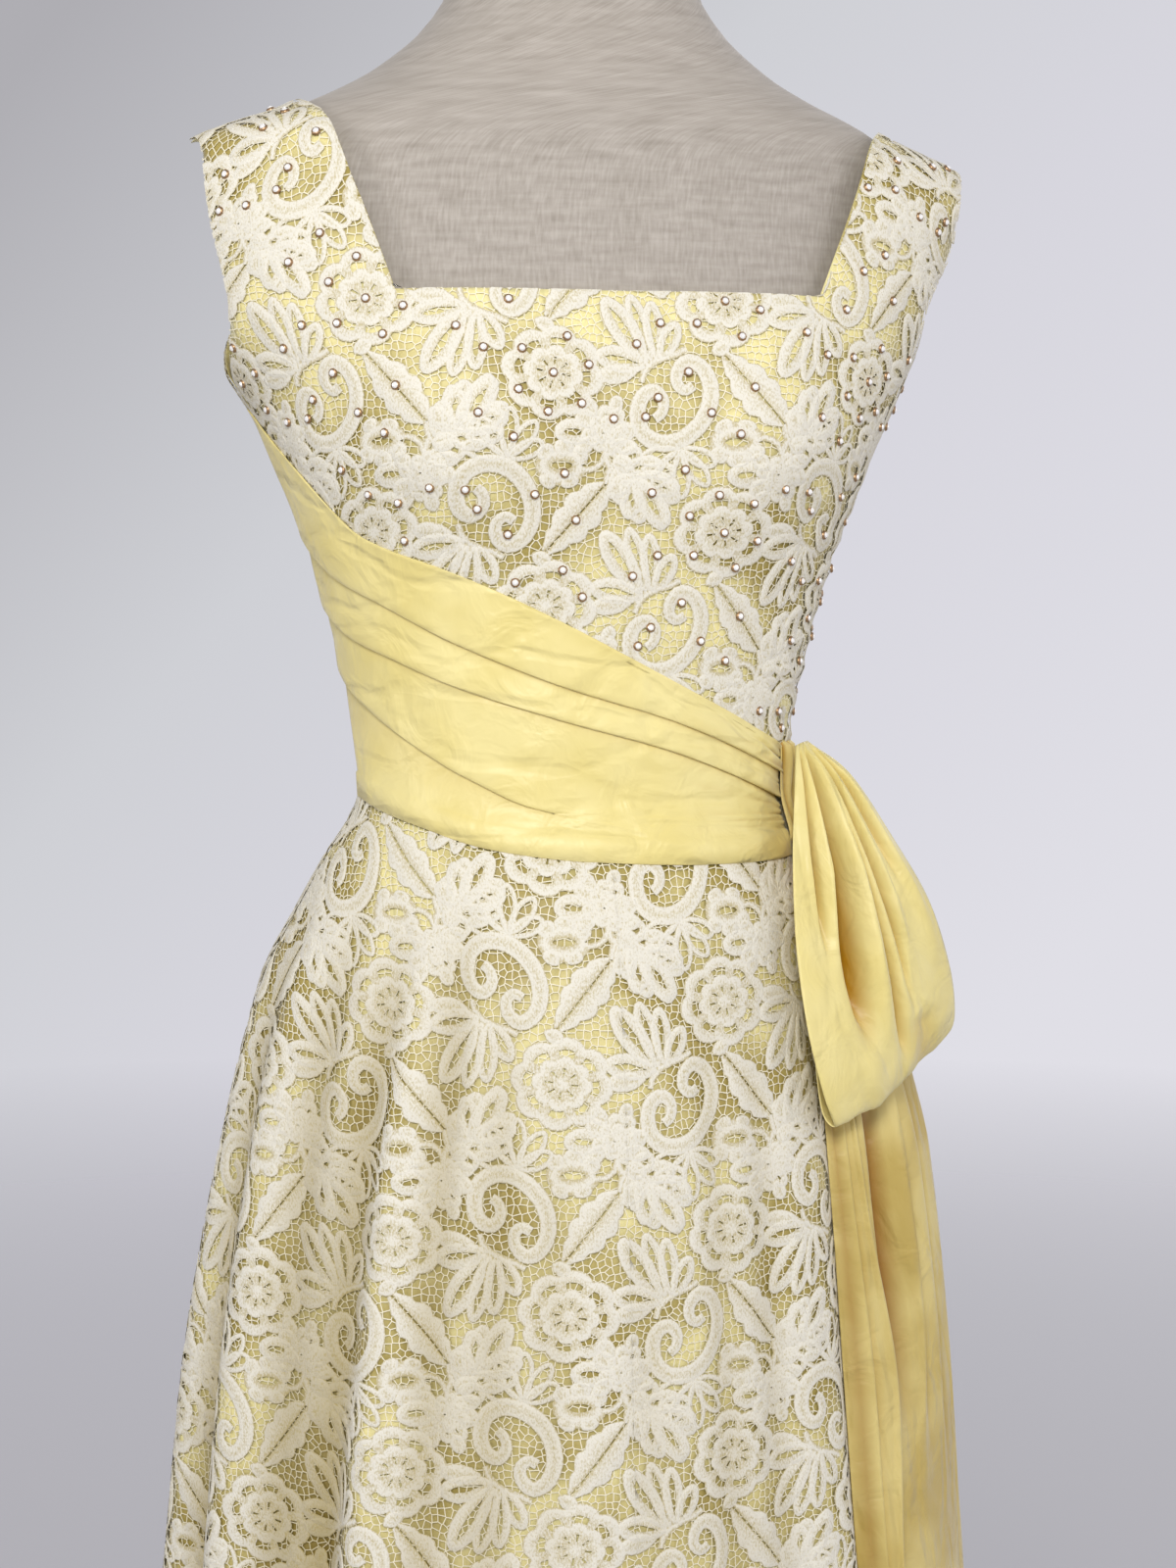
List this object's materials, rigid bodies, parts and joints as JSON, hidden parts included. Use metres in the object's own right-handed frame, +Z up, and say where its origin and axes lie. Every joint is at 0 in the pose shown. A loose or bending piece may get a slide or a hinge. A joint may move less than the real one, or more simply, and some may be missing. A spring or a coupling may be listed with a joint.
{
  "type": "lace gown on a dress form",
  "caption": "Sleeveless full-length gown of cream lace over yellow satin with a square neckline, pleated sash and hanging side bow, on a limbless dress form.",
  "frame": {"origin": "middle of the stand base's underside, on the floor", "axes": "+Z up along the pole; the wearer faces -Y, so +X is the wearer's left, the side of the bow"},
  "size_m": [0.6029, 0.5772, 1.5393],
  "materials": {
    "form_jersey": "matte fine jersey",
    "form_cap": "matte",
    "pole_steel": "brushed",
    "base_steel": "brushed",
    "yellow_satin": "glossy satin",
    "cream_lace": "matte corded lace"
  },
  "bodies": {
    "root": {"form_torso": "form_jersey", "form_neck_cap": "form_cap", "stand_pole": "pole_steel", "stand_hub": "base_steel", "stand_base": "base_steel", "bodice_front_satin": "yellow_satin", "bodice_back_left_satin": "yellow_satin", "bodice_back_right_satin": "yellow_satin", "skirt_front_satin": "yellow_satin", "skirt_back_left_satin": "yellow_satin", "skirt_back_right_satin": "yellow_satin", "sash_front": "yellow_satin", "sash_back": "yellow_satin", "sash_gather": "yellow_satin", "bow_loop": "yellow_satin", "sash_tail_front": "yellow_satin", "sash_tail_rear": "yellow_satin", "bodice_front_lace": "cream_lace", "bodice_back_left_lace": "cream_lace", "bodice_back_right_lace": "cream_lace", "skirt_front_lace": "cream_lace", "skirt_back_left_lace": "cream_lace", "skirt_back_right_lace": "cream_lace"}
  },
  "joints": []
}
